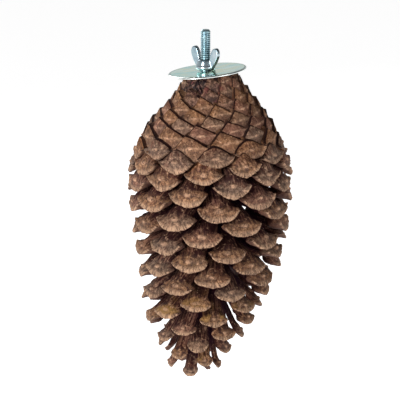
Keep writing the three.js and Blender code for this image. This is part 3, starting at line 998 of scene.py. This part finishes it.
def wing_outline():
    """The wing's edge in its own plane, from the hub out, up and back: x outward, z up."""
    def bend(a, b, c, d, steps=8):
        a, b, c, d = (np.array(p, float) for p in (a, b, c, d))
        u = np.linspace(0, 1, steps, endpoint=False)[:, None]
        return list((1 - u) ** 3 * a + 3 * (1 - u) ** 2 * u * b + 3 * (1 - u) * u * u * c + u ** 3 * d)

    tip, crest, neck = (11.7, 7.8), (9.5, WING_HEIGHT), (5.8, 9.6)
    outline = [(3.2, 0.8)] + bend((6.8, 1.0), (8.6, 2.2), (10.4, 4.8), tip)
    outline += bend(tip, (13.2, 10.6), (11.8, WING_HEIGHT + 0.1), crest)
    outline += bend(crest, (7.6, WING_HEIGHT - 0.2), (6.4, 11.8), neck)
    outline += [neck, (4.8, 6), (3.2, 5.2)]
    drawn_span = 24.4
    stretch = WING_SPAN / drawn_span
    return [(x * stretch, z) for x, z in outline]


def wing_nut_mesh():
    """The wing nut, its barrel and wings run together like a forging, with a bored hole."""
    foot, top, height = NUT_RADIUS, NUT_TOP_RADIUS, NUT_HEIGHT
    barrel = [(0, 0.0), (foot - 0.5, 0.0), (foot, 0.5), (foot, 1.7), (foot - 0.4, 2.4)]
    barrel += [(top, height - 0.6), (top - 0.6, height), (0, height)]
    hub = piece("nut_hub", turned("nut_hub", barrel, 64))
    outline = wing_outline()
    half = WING_THICKNESS / 2
    count = len(outline)
    points = [(x, y, z) for y in (-half, half) for x, z in outline]
    sides = [tuple(range(count)), tuple(range(2 * count - 1, count - 1, -1))]
    wings = []
    for turn in (0, math.pi):
        mesh = mesh_of("nut_wing", points, sides + tube_faces(1, count))
        mesh.transform(Matrix.Rotation(turn, 4, "Z"))
        tidy_normals(mesh)
        wings.append(piece("nut_wing", mesh))
    low, high = -1, WING_HEIGHT + 6
    bore_profile = [(0, low), (NUT_BORE, low), (NUT_BORE, high), (0, high)]
    bore = piece("nut_bore", turned("nut_bore", bore_profile, 64))

    def boolean(name, operation, other):
        modifier = hub.modifiers.new(name, "BOOLEAN")
        modifier.operation = operation
        modifier.object = other

    for wing in wings:
        boolean("Join", "UNION", wing)
    forge = hub.modifiers.new("Forge", "REMESH")
    forge.mode = "VOXEL"
    forge.voxel_size = 0.22
    soften = hub.modifiers.new("Soften", "SMOOTH")
    soften.factor = 0.5
    soften.iterations = 9
    boolean("Bore", "DIFFERENCE", bore)
    graph = bpy.context.evaluated_depsgraph_get()
    mesh = bpy.data.meshes.new_from_object(hub.evaluated_get(graph))
    for used in (hub, bore, *wings):
        bpy.data.objects.remove(used)
    mesh.transform(Matrix.Diagonal((MM, MM, MM, 1)))
    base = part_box("wing_nut")[0].z
    mesh.transform(Matrix.Translation((0, 0, base)) @ Matrix.Rotation(WING_BEARING, 4, "Z"))
    return mesh


# Settings

class ConeSettings(bpy.types.PropertyGroup):
    """What a user would change on the cone."""

    warp: bpy.props.FloatProperty(
        name="Warp", description="How far the scales depart from their pattern, as a share of their width",
        default=0.10, min=0.0, max=0.3, subtype="FACTOR")
    forms: bpy.props.IntProperty(
        name="Forms", description="How many different scales each zone draws from", default=7, min=1, max=20)
    seed: bpy.props.IntProperty(name="Seed", description="Start of every random draw", default=40)


class HardwareSettings(bpy.types.PropertyGroup):
    """What a user would change on the stud, the washer and the wing nut."""

    thread_depth: bpy.props.FloatProperty(
        name="Thread depth", description="Depth of the machine thread, in millimetres", default=0.52, min=0.1)
    chamfer: bpy.props.FloatProperty(
        name="End chamfer", description="Chamfer on the stud's end, in millimetres", default=0.9, min=0.0)


class StageSettings(bpy.types.PropertyGroup):
    """The studio: camera, lights and floor."""

    distance: bpy.props.FloatProperty(
        name="Camera distance", description="Level distance from the stud to the camera",
        default=1.21, unit="LENGTH")
    height: bpy.props.FloatProperty(
        name="Camera height", description="Height of the camera above the washer",
        default=0.209, unit="LENGTH")
    lens: bpy.props.FloatProperty(
        name="Lens", description="Focal length on a 36 mm sensor, in millimetres", default=171.9)
    floor_drop: bpy.props.FloatProperty(
        name="Floor drop", description="How far the floor lies below the washer", default=0.30, unit="LENGTH")
    key: bpy.props.FloatProperty(
        name="Key light", description="Power of the key light, in watts", default=15.0)
    sky: bpy.props.FloatProperty(name="Sky", description="Strength of the even light all round", default=0.62)
    floor_glow: bpy.props.FloatProperty(
        name="Floor glow", description="Light that the lit table under the object gives", default=0.74)


# Operators

class CONE_OT_core(bpy.types.Operator):
    """Make the cone's core"""

    bl_idname = "pine_cone.core"
    bl_label = "Core"

    def execute(self, context):
        finished_piece("cone_rachis", rachis_mesh(), "core", None, "cone", "cone_wood", "pine_cone")
        return {"FINISHED"}


class CONE_OT_scales(bpy.types.Operator):
    """Grow the cone's scales: a shut crown with a torn patch, open rows, hooded rows and fingers"""

    bl_idname = "pine_cone.scales"
    bl_label = "Scales"

    def execute(self, context):
        settings = context.scene.cone_settings
        places = scale_places()
        whole = [place for place in places if not is_torn(place["number"])]
        torn = [place for place in places if is_torn(place["number"])]
        zones = (
            ("crown_scales", 0, SHUT_BEFORE, SHUT),
            ("upper_open_scales", SHUT_BEFORE, LOOSE_FROM, UPPER),
            ("lower_open_scales", LOOSE_FROM, HOODED_FROM, OPEN),
            ("hooded_scales", HOODED_FROM, TIP_FROM, HOODED),
            ("tip_scales", TIP_FROM, SCALE_COUNT, TIP),
        )
        for i, (name, low, high, style) in enumerate(zones):
            chosen = [place for place in whole if low <= place["number"] < high]
            grow_scales(name, chosen, style, settings.forms, settings.seed + 20 * i, settings.warp)
        grow_scales("torn_scales", torn, TORN, settings.forms, settings.seed + 90, settings.warp)
        return {"FINISHED"}


class CONE_OT_stud(bpy.types.Operator):
    """Thread the hanger bolt, above and below the washer"""

    bl_idname = "pine_cone.stud"
    bl_label = "Stud"

    def execute(self, context):
        settings = context.scene.hardware_settings
        threaded_bar("stud_machine_thread", MACHINE_END, BOLT_TOP, BOLT_RADIUS, settings.thread_depth,
                     MACHINE_PITCH, settings.chamfer, point_length=0.01, sides=48, rows_per_turn=14)
        threaded_bar("stud_wood_screw", BOLT_END, MACHINE_END, SCREW_RADIUS, SCREW_DEPTH,
                     SCREW_PITCH, chamfer=0.2, point_length=8.0, sides=32, rows_per_turn=12)
        return {"FINISHED"}


class CONE_OT_washer(bpy.types.Operator):
    """Turn the fender washer and lean it on the crown"""

    bl_idname = "pine_cone.washer"
    bl_label = "Washer"

    def execute(self, context):
        finished_piece("washer_plate", washer_mesh(), "washer", 40, "washer", "zinc_plate", "washer")
        return {"FINISHED"}


class CONE_OT_wing_nut(bpy.types.Operator):
    """Forge the wing nut"""

    bl_idname = "pine_cone.wing_nut"
    bl_label = "Wing nut"

    def execute(self, context):
        finished_piece("wing_nut_forging", wing_nut_mesh(), "nut", 55, "nut", "zinc_plate", "wing_nut")
        return {"FINISHED"}


class CONE_OT_stage(bpy.types.Operator):
    """Set the floor, the light and the camera"""

    bl_idname = "pine_cone.stage"
    bl_label = "Stage"

    def execute(self, context):
        settings = context.scene.stage_settings
        scene = context.scene
        scene.view_settings.view_transform = "Standard"
        self.floor(settings)
        self.light("key", (-0.75, -1.0, 0.25), 0.5, settings.key)
        self.light("fill", (0.9, -0.8, 0.1), 0.6, settings.key * 0.22)
        self.light("back", (-0.5, 0.9, 0.5), 0.5, settings.key * 0.3)
        self.sky(scene, settings)
        self.camera(scene, settings)
        return {"FINISHED"}

    def sky(self, scene, settings):
        """White behind the object, and to every other ray a grey that dims upwards and to the right."""
        world = bpy.data.worlds.new("Studio")
        world.use_nodes = True
        tree = Tree(world.node_tree)
        seen = tree.add("ShaderNodeLightPath", out="Is Camera Ray")
        x, _, z = tree.split(tree.add("ShaderNodeTexCoord", out="Generated"))
        above = tree.range(z, 0.15, 0.6, settings.sky, settings.sky * 0.3)
        shaded = tree.times(above, tree.range(x, 0.25, 0.8, 1.0, 0.5))
        strength = tree.add("ShaderNodeMix", seen, shaded, 1.0, data_type="FLOAT")
        tree.wire(world.node_tree.nodes["Background"], {"Color": WHITE, "Strength": strength})
        scene.world = world

    def floor(self, settings):
        half = 6.0
        drop = -settings.floor_drop
        corners = [(-half, -half, drop), (half, -half, drop), (half, half, drop), (-half, half, drop)]
        obj = piece("studio_floor", mesh_of("studio_floor", corners, [(0, 1, 2, 3)]))
        material, tree, shader = new_material("Pale floor")
        tone = tree.noise(tree.place(), 3.0, 2.0, 0.5)
        base = tree.blend(tone, (0.93, 0.93, 0.93, 1), (0.97, 0.97, 0.97, 1))
        tree.wire(shader, {
            "Base Color": base, "Roughness": 0.9, "Emission Color": WHITE,
            "Emission Strength": settings.floor_glow,
        })
        obj.data.materials.append(material)

    def light(self, name, place, size, power):
        data = bpy.data.lights.new(name, "AREA")
        data.energy = power
        data.size = size
        obj = piece(name, data)
        obj.location = place
        aim = Vector((0, 0, -0.09)) - Vector(place)
        obj.rotation_euler = aim.to_track_quat("-Z", "Y").to_euler()

    def camera(self, scene, settings):
        data = bpy.data.cameras.new("Camera")
        data.lens = settings.lens
        data.sensor_width = 36.0
        data.clip_start = 0.05
        data.clip_end = 50.0
        obj = piece("Camera", data)
        obj.location = (0.0, -settings.distance, settings.height)
        obj.rotation_euler = (math.pi / 2 - CAMERA_PITCH, 0, 0)
        # The stud's foot lies so far ahead and up, and falls on its own pixel of the photograph
        cosine, sine = math.cos(CAMERA_PITCH), math.sin(CAMERA_PITCH)
        ahead = settings.distance * cosine + settings.height * sine
        up = settings.distance * sine - settings.height * cosine
        pixel_x, pixel_y = STUD_FOOT_PIXEL
        data.shift_x = 0.5 - pixel_x / PHOTO_SIZE
        data.shift_y = settings.lens / data.sensor_width * up / ahead - 0.5 + pixel_y / PHOTO_SIZE
        scene.camera = obj


class CONE_PT_panel(bpy.types.Panel):
    """Lists the pieces of the hanging pine cone"""

    bl_label = "Pine cone"
    bl_idname = "CONE_PT_panel"
    bl_space_type = "VIEW_3D"
    bl_region_type = "UI"
    bl_category = "Pine cone"

    def draw(self, context):
        for group in GROUPS:
            box = self.layout.box()
            settings = getattr(context.scene, group)
            for name in settings.__annotations__:
                box.prop(settings, name)
        for operator in OPERATORS:
            self.layout.operator(operator.bl_idname)


OPERATORS = (CONE_OT_core, CONE_OT_scales, CONE_OT_stud, CONE_OT_washer, CONE_OT_wing_nut, CONE_OT_stage)
GROUPS = {
    "cone_settings": ConeSettings, "hardware_settings": HardwareSettings, "stage_settings": StageSettings,
}
CLASSES = (*GROUPS.values(), *OPERATORS, CONE_PT_panel)


def register():
    for kind in CLASSES:
        bpy.utils.register_class(kind)
    for name, group in GROUPS.items():
        setattr(bpy.types.Scene, name, bpy.props.PointerProperty(type=group))


def unregister():
    for name in GROUPS:
        delattr(bpy.types.Scene, name)
    for kind in reversed(CLASSES):
        bpy.utils.unregister_class(kind)


def main():
    register()
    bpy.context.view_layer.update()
    bpy.ops.pine_cone.core()
    bpy.ops.pine_cone.scales()
    bpy.ops.pine_cone.stud()
    bpy.ops.pine_cone.washer()
    bpy.ops.pine_cone.wing_nut()
    bpy.ops.pine_cone.stage()


if __name__ == "__main__":
    main()
